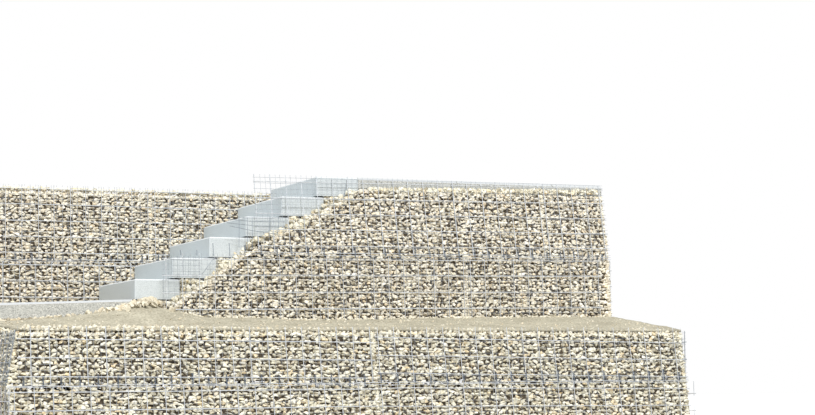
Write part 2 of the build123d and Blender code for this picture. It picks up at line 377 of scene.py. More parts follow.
def scatterTree():
    tree = bpy.data.node_groups.new("stoneScatter", "GeometryNodeTree")
    tree.interface.new_socket("Geometry", in_out="INPUT", socket_type="NodeSocketGeometry")
    tree.interface.new_socket("Geometry", in_out="OUTPUT", socket_type="NodeSocketGeometry")
    points = tree.nodes.new("NodeGroupInput")
    result = tree.nodes.new("NodeGroupOutput")
    shapes = tree.nodes.new("GeometryNodeCollectionInfo")
    shapes.inputs["Collection"].default_value = stoneShapes
    shapes.inputs["Separate Children"].default_value = True
    shapes.inputs["Reset Children"].default_value = True
    spread = tree.nodes.new("GeometryNodeInstanceOnPoints")
    spread.inputs["Pick Instance"].default_value = True
    real = tree.nodes.new("GeometryNodeRealizeInstances")
    tree.links.new(points.outputs[0], spread.inputs["Points"])
    tree.links.new(shapes.outputs[0], spread.inputs["Instance"])
    for name, kind, socket in (("shape", "INT", "Instance Index"), ("turn", "FLOAT_VECTOR", "Rotation"),
                               ("size", "FLOAT_VECTOR", "Scale")):
        stored = tree.nodes.new("GeometryNodeInputNamedAttribute")
        stored.data_type = kind
        stored.inputs["Name"].default_value = name
        tree.links.new(stored.outputs["Attribute"], spread.inputs[socket])
    tree.links.new(spread.outputs[0], real.inputs[0])
    tree.links.new(real.outputs[0], result.inputs[0])
    return tree


stoneScatter = scatterTree()


def scatter(stones):
    # stones: (place, turn, size, tone, shape) for each stone; gives one joined mesh
    mesh = bpy.data.meshes.new("stonePoints")
    mesh.from_pydata([s[0] for s in stones], [], [])
    shape = mesh.attributes.new("shape", "INT", "POINT")
    shape.data.foreach_set("value", [s[4] for s in stones])
    for name, field in (("turn", 1), ("size", 2)):
        stored = mesh.attributes.new(name, "FLOAT_VECTOR", "POINT")
        stored.data.foreach_set("vector", [c for s in stones for c in s[field]])
    tone = mesh.attributes.new("tone", "FLOAT", "POINT")
    tone.data.foreach_set("value", [s[3] for s in stones])
    points = bpy.data.objects.new("stonePoints", mesh)
    bpy.context.collection.objects.link(points)
    spread = points.modifiers.new("stoneScatter", "NODES")
    spread.node_group = stoneScatter
    graph = bpy.context.evaluated_depsgraph_get()
    made = bpy.data.meshes.new_from_object(points.evaluated_get(graph), preserve_all_data_layers=True,
                                           depsgraph=graph)
    bpy.data.objects.remove(points)
    made.materials.clear()                        # the spread leaves an empty slot
    return made


def solidOf(node):
    bm = bmesh.new()
    bm.from_mesh(bpy.data.objects[node].data)
    bmesh.ops.remove_doubles(bm, verts=bm.verts, dist=1e-5)
    bmesh.ops.dissolve_limit(bm, angle_limit=0.02, verts=bm.verts, edges=bm.edges)
    bm.normal_update()
    bm.faces.ensure_lookup_table()
    return bm


def within(tree, place):
    # a ray from a point inside crosses the surface an odd number of times
    crossings, start, way = 0, place.copy(), Vector((0.013, 0.021, 1)).normalized()
    while True:
        hit = tree.ray_cast(start, way)
        if hit[0] is None:
            return crossings % 2 == 1
        crossings += 1
        start = hit[0] + way * 1e-5


allNodes = sorted({part["node"] for part in frame["record"]["subparts"]})
stoneNodes = [n for n in allNodes if n.endswith(("stones_left", "stones_right"))]
solids = {}                                       # low corner, high corner, tree and bmesh of each node
for nodeName in allNodes:
    if "mesh" not in nodeName:
        nodeSolid = solidOf(nodeName)
        solids[nodeName] = (*map(Vector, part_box(nodeName)), BVHTree.FromBMesh(nodeSolid), nodeSolid)


def covered(place, own):
    # whether a point lies in the solid of another node
    for name, (low, high, tree, _) in solids.items():
        near = all(low[i] <= place[i] <= high[i] for i in range(3))
        if name != own and near and within(tree, place):
            return True
    return False


def stoneAt(place, normal, along, rng):
    width, height, depth = (rng.uniform(*gravel[k]) for k in ("width", "height", "depth"))
    stand = Matrix((along, -normal, normal.cross(along))).transposed()
    tilt = Matrix.Identity(3)
    for axis, spread in (("Y", "tilt"), ("X", "turn"), ("Z", "turn")):
        tilt = tilt @ Matrix.Rotation(rng.gauss(0, gravel[spread]), 3, axis)
    inward = depth * 0.50 + gravel["setBack"] * (0.4 + rng.random())
    inward += gravel["looseDepth"] * rng.random() ** 2
    shape = rng.randrange(gravel["shapes"])
    if normal.y > -0.5:                               # fewer facets on the unseen sides
        shape = gravel["shapes"] + shape % gravel["plainShapes"]
    turn = tuple((stand @ tilt).to_euler())
    return place - normal * inward, turn, (width, depth, height), rng.random(), shape


def insideBasket(place, own, bm, tree, node):
    # a stone near an open edge is moved in, so that it stays behind the neighbouring side
    for face in bm.faces:
        if face.index == own.index:
            continue
        hit = tree.ray_cast(place, face.normal, gravel["edge"])
        if hit[2] == face.index and not covered(hit[0] + face.normal * gravel["cover"], node):
            place = place - face.normal * (gravel["edge"] - hit[3])
    return tuple(min(max(place[i], cadBox[0][i] + gravel["edge"]), cadBox[1][i] - gravel["edge"])
                 for i in range(3))


def basketStones(node):
    bm, tree = solids[node][3], solids[node][2]
    rng = random.Random(node)
    stones = []
    for face in bm.faces:
        normal = face.normal
        if normal.z < -0.5:
            continue
        along = Vector((0, 0, 1)).cross(normal)
        along = Vector((1, 0, 0)) if along.length < 0.2 else along.normalized()
        upward = normal.cross(along)
        us, vs = ([v.co.dot(way) for v in face.verts] for way in (along, upward))
        left, right, bottom = min(us), max(us), min(vs)
        level = face.verts[0].co.dot(normal)
        rows = max(1, round((max(vs) - bottom) / gravel["rise"]))
        rowHeight = (max(vs) - bottom) / rows
        columns = math.ceil((right - left) / gravel["across"])
        jitter = gravel["jitter"]
        for row in range(rows):
            for column in range(columns + 1):
                u = left + (column + (row % 2) * 0.5 + rng.uniform(-jitter, jitter)) * gravel["across"]
                u = min(max(u, left + gravel["joint"]), right - gravel["joint"])
                v = bottom + (row + 0.5 + rng.uniform(-jitter, jitter)) * rowHeight
                place = along * u + upward * v + normal * level
                hit = tree.ray_cast(place + normal * 0.002, -normal, 0.004)
                if hit[2] != face.index or covered(place + normal * gravel["cover"], node):
                    continue
                stone = stoneAt(place, normal, along, rng)
                stones.append((insideBasket(stone[0], face, bm, tree, node), *stone[1:]))
    return stones


def basketCore(node):
    # the node's solid, drawn in behind the stones
    bm = solids[node][3].copy()
    bmesh.ops.triangulate(bm, faces=bm.faces)
    bm.normal_update()
    moves = [(v, v.normal * min(v.calc_shell_factor(), 1.5) * gravel["coreDepth"]) for v in bm.verts]
    for vert, move in moves:
        vert.co -= move
    return bm


def depthInside(place, node):
    # how far a point lies behind the nearest open side of the wall
    x, y, z = place.x - leftEnd, place.y - seamPlane, place.z
    face = lowerFace if node.startswith("lower") else upperFace if node.startswith("upper") else rearFace
    rim = wall["rim"] + gravel["rimMargin"] + (wall["foot"] - wall["rim"]) * share(y / wall["terrace"])
    top = {"lower": rim, "rear": wall["rearTop"]}.get(node.split("_")[0], wall["crest"])
    depths = [wall["length"] - x, wall["back"] - y, top - z, x + flareAt(z)]
    if not node.startswith("back"):
        depths.append(y - face(z))
    if node.startswith("upper") and fillLines["slope"][0][0] < x < fillLines["crest"][0][0]:
        depths.append((levelAt(x, fillLines["slope"]) - z) * gravel["slopeShare"])
    return max(min(depths), 0)


def basketPiece(node):
    stones = basketStones(node)
    core = basketCore(node)
    # the core takes the second material, the painted shade
    for face in core.faces:
        face.material_index = 1
    if stones:
        core.from_mesh(scatter(stones))
    # depth behind the open side, which darkens the deeper stones as painted shade in the crevices
    deep = core.verts.layers.float.new("deep")
    for vert in core.verts:
        vert[deep] = depthInside(vert.co, node)
    bmesh.ops.recalc_face_normals(core, faces=[f for f in core.faces if f.material_index == 1])
    stoneMaterial = gravelMaterial if node.startswith(("lower", "back")) else litUpperGravelMaterial
    newPiece(node.replace("stones", "gravel"), core, [stoneMaterial, paintedShadeMaterial], [node])
    return len(stones)


stoneCount = sum(basketPiece(node) for node in stoneNodes)
print("gravel baskets filled,", stoneCount, "stones")


# Galvanised wire
def wireFinish(name, dull, bright):
    finish = Finish(name, Metallic=0.35, Roughness=0.5)
    finish.color(finish.ramp(finish.noise(55, 3), [(0.35, dull), (0.65, bright)]))
    return finish.material


wireMaterial = wireFinish("galvanisedWire", (0.500, 0.528, 0.556), (0.700, 0.725, 0.752))
# painted shade: the clips' dark colour stands in for the shadow on the loops and hooks at the seams
shadedClipMaterial = wireFinish("dullClipWire", (0.060, 0.078, 0.105), (0.150, 0.182, 0.225))
fineMaterial = wireFinish("fineWire", (0.300, 0.335, 0.370), (0.440, 0.475, 0.510))
bentMaterial = wireFinish("bentWire", (0.180, 0.215, 0.250), (0.290, 0.330, 0.370))
net = {"coarse": 0.150, "fine": 0.050, "coarseWire": 0.0034, "fineWire": 0.0010, "clearWire": 0.0014,
       "sag": 0.0022, "gap": -0.0015}


def wirePiece(name, chains, nodes=(), material=None):
    # chains: (points, wire radius)
    curve = bpy.data.curves.new(name, "CURVE")
    curve.dimensions = "3D"
    curve.bevel_depth = 1.0
    curve.bevel_resolution = 0
    curve.use_fill_caps = True
    for points, radius in chains:
        run = curve.splines.new("POLY")
        run.points.add(len(points) - 1)
        for point, place in zip(run.points, points):
            point.co = (*place, 1)
            point.radius = radius
    bent = bpy.data.objects.new(name + "Curve", curve)
    bpy.context.collection.objects.link(bent)
    graph = bpy.context.evaluated_depsgraph_get()
    mesh = bpy.data.meshes.new_from_object(bent.evaluated_get(graph), depsgraph=graph)
    bpy.data.objects.remove(bent)
    mesh.materials.clear()
    mesh.name = name
    meshPiece(name, mesh, [material or wireMaterial], nodes, smooth=True)


def stretch(low, high, step):
    count = max(1, round((high - low) / step))
    return [low + (high - low) * n / count for n in range(count + 1)]


def sheetNet(place, xs, zs, xEnds, zEnds, radius, out, rng, tilt=0.0, pivot=0.0):
    # a welded sheet: uprights at xs, rows at zs; place(x, z, out) is a point on its side
    chains = []
    sag = net["sag"]
    for x in xs:
        offset = rng.gauss(0, sag)
        chains.append(([place(x + offset + rng.gauss(0, sag * 0.5), z, out)
                        for z in stretch(*zEnds, net["coarse"])], radius))
    for z in zs:
        offset = rng.gauss(0, sag)
        levels = [(x, z + offset + rng.gauss(0, sag * 0.5) + (x - pivot) * tilt)
                  for x in stretch(*xEnds, 2 * net["coarse"])]
        points = [place(x, min(max(level, zEnds[0] + radius), zEnds[1] - radius), out + 0.8 * radius)
                  for x, level in levels]
        chains.append((points, radius))
    return chains


def ladder(first, last, pitch):
    return [first + n * pitch for n in range(int((last - first) / pitch + 1e-6) + 1)]


def onLower(x, z, out):
    return atWall(x, lowerFace(z) - out, z)


def onUpper(x, z, out):
    return atWall(x, upperFace(z) - out, z)


def onRear(x, z, out):
    return atWall(x, rearFace(z) - out, z)


# Front panels: coarse mesh in front, fine mesh behind it against the stones
panels = {
    "lower_base_mesh_left": {"side": onLower, "lean": "lowerLean", "x": (-0.084, 2.992), "first": -0.020,
                             "z": (0.006, 0.742), "row": 0.117, "tilt": 0.0, "pivot": 0.0},
    "lower_base_mesh_right": {"side": onLower, "lean": "lowerLean", "x": (3.003, 5.989), "first": 3.0325,
                              "z": (0.006, 0.742), "row": 0.117, "tilt": -0.010, "pivot": 3.0},
    "lower_top_mesh_left": {"side": onLower, "lean": "lowerLean", "x": (0.006, 2.992), "first": 0.1125,
                            "z": (0.758, 1.219), "row": 0.824, "tilt": -0.0113, "pivot": 0.2},
    "lower_top_mesh_right": {"side": onLower, "lean": "lowerLean", "x": (3.003, 5.989), "first": 3.0325,
                             "z": (0.758, 1.219), "row": 0.834, "tilt": -0.0175, "pivot": 3.0},
    "upper_base_mesh_left": {"side": onUpper, "lean": "upperBaseLean", "x": (1.541, 4.460), "first": 1.578,
                             "z": (1.312, 1.902), "row": 1.415, "tilt": 0.011, "pivot": 3.2},
    "upper_base_mesh_right": {"side": onUpper, "lean": "upperBaseLean", "x": (4.466, 5.880), "first": 4.498,
                              "z": (1.312, 1.902), "row": 1.415, "tilt": 0.011, "pivot": 3.2},
    "upper_top_mesh_left": {"side": onUpper, "lean": "upperTopLean", "x": (2.425, 5.319), "first": 2.437,
                            "z": (1.918, 2.634), "row": 1.995, "tilt": 0.0105, "pivot": 4.14},
    "upper_top_mesh_right": {"side": onUpper, "lean": "upperTopLean", "x": (5.325, 5.989), "first": 5.345,
                             "z": (1.918, 2.634), "row": 1.995, "tilt": 0.0105, "pivot": 4.14},
    "rear_base_mesh": {"side": onRear, "lean": "rearLean", "x": (0.006, 1.873), "first": 0.013,
                       "z": (1.500, 1.902), "row": 1.568, "tilt": 0.0, "pivot": 0.0},
    "rear_top_mesh_left": {"side": onRear, "lean": "rearLean", "x": (0.006, 1.873), "first": 0.041,
                           "z": (1.918, 2.617), "row": 1.983, "tilt": 0.0, "pivot": 0.0},
    "rear_top_mesh_right": {"side": onRear, "lean": "rearLean", "x": (1.879, 3.143), "first": 1.911,
                            "z": (1.918, 2.617), "row": 1.983, "tilt": 0.0, "pivot": 0.0},
}


def panelChains(panel, rng, fine):
    side, (left, right), (low, high) = panel["side"], panel["x"], panel["z"]
    upright = math.cos(math.radians(wall[panel["lean"]]))
    if fine:
        uprights = ladder(left + 0.012, right - 0.006, net["fine"])
        rows = ladder(low + 0.014, high - 0.004, net["fine"] * upright)
        radius, gap = net["fineWire"] if side == onLower else net["clearWire"], 0.0
    else:
        uprights = ladder(panel["first"], right - 0.018, net["coarse"])
        rows = ladder(panel["row"], high - 0.012, net["coarse"] * upright)
        radius, gap = net["coarseWire"], net["gap"]
    return sheetNet(side, uprights, rows, (left, right), (low, high), radius, gap, rng,
                    panel["tilt"], panel["pivot"])


for panelName, panelSizes in panels.items():
    panelRandom = random.Random(panelName)
    wirePiece(panelName.replace("mesh", "wires"), panelChains(panelSizes, panelRandom, False), [panelName])
    wirePiece(panelName.replace("mesh", "fine_wires"), panelChains(panelSizes, panelRandom, True),
              material=fineMaterial)
print("front panels made")


# Ends and back of the baskets
def closingNet(name, place, us, vs, fine=True, material=None):
    rng = random.Random(name)
    chains = []
    for grade, margin, out in (("coarse", 0.03, 0.0), ("fine", 0.01, -0.004)):
        if fine or grade == "coarse":
            uprights, rows = (ladder(low + margin, high, net[grade]) for low, high in (us, vs))
            chains += sheetNet(place, uprights, rows, us, vs, net[grade + "Wire"], out, rng)
    wirePiece(name, chains, material=material)


inset = 0.0105                                    # wires stay inside the wall's length and depth


def flaredSide(y, z, out):
    return atWall(inset - out - flareAt(z), y, z)


def leftSide(y, z, out):
    return atWall(inset - out, y, z)


def rightSide(y, z, out):
    return atWall(wall["length"] - inset + out, y, z)


def backSide(x, z, out):
    return atWall(x, wall["back"] - inset + out, z)


for sideName, sidePlace, lowPlace in (("left", leftSide, flaredSide), ("right", rightSide, rightSide)):
    backEnd = wall["back"] - inset
    closingNet(f"lower_base_end_wires_{sideName}", lowPlace, (lowerFace(0.0) + 0.004, backEnd),
               (0.006, 0.742), fine=False)
    # the lower top ends take the darker fine-wire grey: painted shade on the end faces
    closingNet(f"lower_top_end_wires_{sideName}", lowPlace, (0.02, backEnd), (0.758, wall["rim"]),
               material=fineMaterial)
    closingNet(f"rear_end_wires_{sideName}", sidePlace, (rearFace(wall["foot"]) + 0.01, backEnd),
               (wall["foot"] + 0.01, wall["rearTop"] - 0.004))

# Spiral wires that bind the lower left corner
binder = {"rows": (0.030, 0.085, 0.150), "pitch": 0.030, "radius": 0.009, "wire": 0.0026, "steps": 6,
          "flatness": 0.4, "behind": 0.004, "base": (0.02, 0.735), "top": (0.762, 1.185)}


def binderChain(row, low, high):
    points = []
    for n in range(int((high - low) / binder["pitch"] * binder["steps"])):
        z, angle = low + n * binder["pitch"] / binder["steps"], n * 2 * math.pi / binder["steps"]
        y = lowerFace(z) + row + binder["radius"] * math.cos(angle)
        out = binder["radius"] * binder["flatness"] * math.sin(angle) - binder["behind"]
        points.append(flaredSide(y, z, out))
    return points, binder["wire"]


binderChains = [binderChain(binder["rows"][0], *binder["base"])]
binderChains += [binderChain(binderRow, *binder["top"]) for binderRow in binder["rows"]]
wirePiece("corner_binder_wires", binderChains, material=bentMaterial)
closingNet("upper_end_wires_right", rightSide, (wall["terrace"] + 0.02, wall["rearFront"]),
           (wall["foot"] + 0.01, wall["upperSeam"] - 0.01))
closingNet("upper_top_end_wires_right", rightSide, (upperFace(wall["crest"]), wall["rearFront"]),
           (wall["upperSeam"] + 0.01, wall["crest"] - 0.06))
backLevels = (0.006, wall["seam"], wall["foot"], wall["upperSeam"], wall["rearTop"] - 0.004)
for course, (backLow, backHigh) in enumerate(zip(backLevels, backLevels[1:])):
    closingNet(f"back_wires_{course + 1}", backSide, (0.009, wall["length"] - 0.009),
               (backLow + 0.008, backHigh - 0.006))
print("ends and back made")


# Seam bands: the doubled edges where two courses meet, tied at each upright
seams = {
    "lower_seam_wires": {"side": onLower, "x": (-0.08, 5.989), "z": 0.750, "fall": -0.004,
                         "lines": (-0.006, 0.006), "clip": (-0.010, 0.082)},
    "upper_seam_wires": {"side": onUpper, "x": (2.18, 5.989), "z": 1.912, "fall": 0.010,
                         "lines": (-0.012, 0.008), "clip": (-0.020, 0.070)},
    "rear_seam_wires": {"side": onRear, "x": (0.006, 3.143), "z": 1.912, "fall": 0.0,
                        "lines": (-0.012, 0.006), "clip": (-0.015, 0.060)},
}


def seamChains(seam, rng):
    chains, clips = [], []
    left, right = seam["x"]
    for n, shift in enumerate(seam["lines"]):
        radius = net["coarseWire"] * (0.8 if n % 2 else 0.65)
        points = [seam["side"](x, seam["z"] + shift + (x - left) * seam["fall"] * 0.3 + rng.gauss(0, 0.003),
                               0.001 + rng.uniform(0, 0.003)) for x in stretch(left, right, 0.15)]
        chains.append((points, radius))
    for x in ladder(left + 0.118, right - 0.06, net["coarse"]):
        x += rng.gauss(0, 0.005)
        low, high = seam["clip"][0] + rng.gauss(0, 0.006), seam["clip"][1] + rng.gauss(0, 0.010)
        clip = [seam["side"](x + math.sin(n * 1.9) * 0.005, seam["z"] + low + (high - low) * n / 9,
                             0.003 + math.cos(n * 1.9) * 0.0015) for n in range(10)]
        clips.append((clip, net["coarseWire"] * 0.75))
        stem = [seam["side"](x + 0.009, seam["z"] + z, 0.001) for z in (low, high)]
        clips.append((stem, net["coarseWire"]))
    return chains, clips


for seamName, seamSizes in seams.items():
    seamLines, seamClips = seamChains(seamSizes, random.Random(seamName))
    wirePiece(seamName, seamLines)
    wirePiece(seamName.replace("wires", "clips"), seamClips, material=shadedClipMaterial)
print("seams tied")


# Block steps
def blockFinish():
    finish = Finish("stepBlock", Roughness=0.62)
    side = finish.node("SeparateXYZ", sockets={0: finish.node("NewGeometry", out="Normal")}, out=0)
    riser = side * -1 > 0.6                           # sawn faces look to the left
    speckle = finish.noise(230, 3)
    cloud = finish.noise(7, 3)
    flamed = finish.ramp(speckle, [(0.34, (0.420, 0.460, 0.470)), (0.50, (0.565, 0.607, 0.617)),
                                   (0.64, (0.640, 0.680, 0.690))])
    # the riser faces' smoother speckle is their own finish; their lighter, bluer colour is painted light
    # and shade: lighter for the little sun on the left-facing side, bluer like sky-lit shade
    sawnAndLit = finish.ramp(speckle, [(0.38, (0.600, 0.665, 0.695)), (0.62, (0.655, 0.715, 0.745))])
    stone = finish.mix(riser, flamed, sawnAndLit)
    finish.color(finish.mix(cloud * 0.12, stone, (0.52, 0.54, 0.56), "MULTIPLY"))
    finish.bump(speckle, 0.35, 0.002)
    return finish.material


def blockEdgeFinish():
    finish = Finish("stepEdge", Roughness=0.6)
    finish.color(finish.ramp(finish.noise(90), [(0.35, (0.54, 0.57, 0.58)), (0.65, (0.64, 0.665, 0.67))]))
    return finish.material


step = {"count": 6, "bevel": 0.011, "sideBevel": 0.004}
blockMaterial = blockFinish()
blockEdgeMaterial = blockEdgeFinish()


def boxMesh(low, high):
    bm = bmesh.new()
    size = Vector(high) - Vector(low)
    bmesh.ops.create_cube(bm, size=1)
    bmesh.ops.scale(bm, vec=size, verts=bm.verts)
    bmesh.ops.translate(bm, vec=(Vector(high) + Vector(low)) / 2, verts=bm.verts)
    return bm


def bevelEdges(bm, edges, offset, segments, material=-1):
    bmesh.ops.bevel(bm, geom=edges, offset=offset, offset_type="OFFSET", segments=segments, profile=0.5,
                    affect="EDGES", clamp_overlap=True, material=material)


def stepPiece(number):
    node = f"step_{number}"
    low, high = Vector(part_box(node)[0]), Vector(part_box(node)[1])
    bm = boxMesh(low, high)
    top = [e for e in bm.edges if all(v.co.z > high.z - 1e-4 for v in e.verts)]
    bevelEdges(bm, top, step["bevel"], 1, 1)
    upright = [e for e in bm.edges if abs(e.verts[0].co.z - e.verts[1].co.z) > 0.1]
    bevelEdges(bm, upright, step["sideBevel"], 1)
    newPiece(f"{node}_block", bm, [blockMaterial, blockEdgeMaterial], [node])


for stepNumber in range(1, step["count"] + 1):
    stepPiece(stepNumber)
print("steps made")


# Kerb stones: smooth top band, exposed aggregate below
def aggregateFinish():
    finish = Finish("kerbAggregate", Roughness=0.85)
    chipTone, spots = finish.chips(105)
    paste = finish.noise(40, 3)
    chip = finish.ramp(chipTone, [(0.0, (0.18, 0.18, 0.17)), (0.35, (0.37, 0.375, 0.35)),
                                  (0.7, (0.54, 0.54, 0.50)), (1.0, (0.70, 0.69, 0.64))])
    base = finish.ramp(paste, [(0.3, (0.40, 0.405, 0.38)), (0.7, (0.52, 0.525, 0.49))])
    finish.color(finish.mix(spots > 0.48, chip, base))
    finish.bump(spots, 0.6, 0.004)
    return finish.material


def kerbBandFinish():
    finish = Finish("kerbBand", Roughness=0.7)
    finish.color(finish.ramp(finish.noise(60, 4), [(0.3, (0.41, 0.43, 0.44)), (0.7, (0.50, 0.515, 0.52))]))
    return finish.material


kerb = {"endBevel": 0.004}
aggregateMaterial = aggregateFinish()
kerbBandMaterial = kerbBandFinish()


def kerbPiece(node):
    bm = solidOf(node)
    for face in bm.faces:
        face.material_index = 1 if face.normal.z > 0.3 else 0
    ends = [e for e in bm.edges if len(e.link_faces) == 2
            and any(abs(f.normal.x) > 0.9 for f in e.link_faces)
            and all(f.normal.z > -0.3 for f in e.link_faces)]
    bevelEdges(bm, ends, kerb["endBevel"], 1)
    newPiece(f"{node}_stone", bm, [aggregateMaterial, kerbBandMaterial], [node])


for kerbNode in ("path_kerb", "top_kerb_1", "top_kerb_2", "top_kerb_3"):
    kerbPiece(kerbNode)
print("kerbs made")


# Beds of the path and the landing
def gritFinish():
    finish = Finish("gritBed", Roughness=0.95)
    grains = finish.noise(150, 4)
    chipTone, spots = finish.chips(62)
    chip = finish.ramp(chipTone, [(0.0, (0.27, 0.24, 0.18)), (0.5, (0.50, 0.45, 0.35)),
                                  (1.0, (0.72, 0.68, 0.57))])
    fines = finish.ramp(grains, [(0.35, (0.25, 0.215, 0.155)), (0.65, (0.56, 0.495, 0.385))])
    patches = finish.ramp(finish.noise(4, 5), [(0.36, (0.74, 0.71, 0.66)), (0.62, (1, 1, 1))])
    finish.color(finish.mix(1.0, finish.mix(spots > 0.36, chip, fines), patches, "MULTIPLY"))
    finish.bump(grains * 0.5 - spots, 0.7, 0.006)
    return finish.material


gritMaterial = gritFinish()
for bedNode in ("path_bed", "landing_bed"):
    for bedSlot in bpy.data.objects[bedNode].material_slots:
        bedSlot.material = gritMaterial


# Sand on the terrace and in front of the path kerb
sand = {"across": 0.034, "left": 1.287, "right": 1.360, "rim": 1.203, "ripple": 0.007, "thick": 0.02,
        "mound": ((0.0, 1.293), (0.175, 1.298), (0.691, 1.335), (1.129, 1.396), (1.45, 1.440),
                  (1.60, 1.405), (1.90, 1.340), (2.45, 1.332), (3.0, 1.300), (6.0, 1.300))}


def sandFinish():
    finish = Finish("terraceSand", Roughness=0.95)
    grains = finish.noise(220, 3)
    patches = finish.noise(4.5, 4)
    damp = finish.ramp(patches, [(0.34, (0.325, 0.297, 0.214)), (0.66, (0.500, 0.467, 0.355))])
    clods = finish.ramp(finish.noise(48, 4), [(0.36, (0.66, 0.65, 0.62)), (0.58, (1, 1, 1))])
    finish.color(finish.mix(1.0, finish.mix(grains * 0.6, damp, (0.72, 0.675, 0.535)), clods, "MULTIPLY"))
    finish.bump(grains + patches * 2, 0.7, 0.016)
    return finish.material


sandMaterial = sandFinish()


def sandPiece():
    # a grid over the terrace, lifted to the bed's level and given a skirt
    front, back = lowerFace(wall["rim"]) + 0.034, wall["flightFront"] + 0.002
    length = wall["length"] - 0.012
    bm = bmesh.new()
    columns, rows = round(length / sand["across"]), round((back - front) / sand["across"])
    bmesh.ops.create_grid(bm, x_segments=columns, y_segments=rows, size=0.5)
    for vert in bm.verts:
        x = 0.006 + (vert.co.x + 0.5) * length
        y = front + (vert.co.y + 0.5) * (back - front)
        inward = share((y - front) / (wall["terrace"] - front))
        behind = sand["left"] + (sand["right"] - sand["left"]) * share((x - 0.9) / 4.6)
        z = sand["rim"] + (behind - sand["rim"]) * inward
        mound = levelAt(x, sand["mound"])                 # heaped up over the back half
        z = max(z, z + (mound - z) * share((inward - 0.55) / 0.45) ** 1.4)
        wide, narrow = (noise.noise(Vector((x * scale, y * scale, layer)))
                        for scale, layer in ((4, 0), (15, 3)))
        z += sand["ripple"] * (wide + 0.5 * narrow)
        vert.co = atWall(x, y, max(z, sand["rim"] - 0.01))
    skirt = bmesh.ops.extrude_face_region(bm, geom=bm.faces[:])
    for vert in [g for g in skirt["geom"] if isinstance(g, bmesh.types.BMVert)]:
        vert.co.z -= sand["thick"]
    bmesh.ops.recalc_face_normals(bm, faces=bm.faces)
    return newPiece("terrace_sand_bed", bm, [sandMaterial], ["terrace_sand", "path_sand"],
                    smooth=True)


sandBed = sandPiece()


# Loose stones: how many, and their sizes, on the sand and along the edges of the fill
pebbles = {
    "sand": 700, "sandSize": (0.006, 0.020), "kerb": 100, "kerbSize": (0.022, 0.050),
    "heap": 230, "heapSize": (0.036, 0.066), "heapAt": (1.42, 0.03), "heapSpread": (0.17, 0.09),
    "heapTop": (1.46, 0.17, 0.055),                   # middle, half width and height
    "slope": 420, "slopeSize": (0.030, 0.060), "fillIn": 34, "fillInSize": (0.030, 0.048),
    "rear": 480, "rearSize": (0.030, 0.050), "crest": 420, "crestSize": (0.030, 0.052),
    "rim": 440, "rimSize": (0.030, 0.050), "foot": 300, "footSize": (0.014, 0.036),
    "bedEdge": 90, "bedEdgeSize": (0.018, 0.040), "margin": 0.03,
}


def looseStone(place, size, rng):
    turn = [rng.uniform(0, 6.28) for _ in range(3)]
    sizes = [size * rng.uniform(0.75, 1.25) for _ in range(3)]
    return tuple(place), turn, sizes, rng.random(), rng.randrange(gravel["shapes"])


def onSand(x, y, lift=0.0):
    hit = sandTree.ray_cast(atWall(x, y, 1.8), Vector((0, 0, -1)))
    return (hit[0] or atWall(x, y, wall["foot"])) + Vector((0, 0, lift))


def pebblePiece():
    rng = random.Random(5)
    margin, flight = pebbles["margin"], wall["flightFront"]
    stones = []
    for _ in range(pebbles["sand"]):
        x, y = rng.uniform(margin, wall["length"] - margin), rng.uniform(0.12, wall["terrace"] - 0.02)
        size = rng.uniform(*pebbles["sandSize"])
        stones.append(looseStone(onSand(x, y, size * 0.1), size, rng))
    for _ in range(pebbles["kerb"]):
        x, y = rng.uniform(margin, 1.35), flight - rng.uniform(0.02, 0.16)
        size = rng.uniform(*pebbles["kerbSize"])
        stones.append(looseStone(onSand(x, y, size * 0.05), size, rng))
    (heapX, heapOut), (spreadX, spreadY) = pebbles["heapAt"], pebbles["heapSpread"]
    middle, halfWidth, height = pebbles["heapTop"]
    for _ in range(pebbles["heap"]):
        x = heapX + rng.gauss(0, spreadX)
        y = flight - heapOut - abs(rng.gauss(0, spreadY))
        rise = height * math.exp(-((x - middle) / halfWidth) ** 2) * rng.random()
        size = rng.uniform(*pebbles["heapSize"])
        stones.append(looseStone(onSand(x, y, rise + size * 0.15), size, rng))
    meshPiece("loose_pebbles", scatter(stones), [heapMaterial])


def looseSlope():
    # stones heaped against the blocks, above the slope of the fill, and along the crest
    rng = random.Random(8)
    margin, flight = pebbles["margin"], wall["flightFront"]
    stones = []
    for _ in range(pebbles["slope"]):
        x, y = rng.uniform(1.50, 3.42), flight - rng.uniform(0.016, 0.10)
        size = rng.uniform(*pebbles["slopeSize"])
        z = levelAt(x, fillLines["slope"]) - rng.uniform(-0.012, 0.075)
        if y > upperFace(z) + 0.02:
            stones.append(looseStone(atWall(x, y, z), size, rng))
    for number in range(1, step["count"]):            # corners under the ends of the blocks
        cornerX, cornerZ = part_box(f"step_{number}")[1][0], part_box(f"step_{number + 1}")[0][2]
        for _ in range(pebbles["fillIn"]):
            across, down = rng.uniform(0.012, 0.150), rng.uniform(0.020, 0.110)
            place = (cornerX + across, seamPlane + flight + rng.uniform(-0.040, 0.010), cornerZ - down)
            stones.append(looseStone(place, rng.uniform(*pebbles["fillInSize"]), rng))
    for n in range(pebbles["rear"]):
        x = margin + (wall["length"] - 2 * margin) * (n + rng.random()) / pebbles["rear"]
        row = n % 3
        z = wall["rearTop"] + (0.006, 0.014, 0.010)[row] + rng.uniform(-0.008, 0.008)
        y = rearFace(z) + 0.022 + row * 0.030 + rng.random() * 0.010
        stones.append(looseStone(atWall(x, y, z), rng.uniform(*pebbles["rearSize"]), rng))
    for _ in range(pebbles["crest"]):
        x = rng.uniform(3.55, wall["length"] - 0.04)
        z = levelAt(x, fillLines["crest"]) - rng.uniform(0.0, 0.03)
        y = rng.uniform(upperFace(z) + 0.018, max(upperFace(z) + 0.022, flight - 0.014))
        stones.append(looseStone(atWall(x, y, z), rng.uniform(*pebbles["crestSize"]), rng))
    meshPiece("loose_slope_stones", scatter(stones), [gravelMaterial])


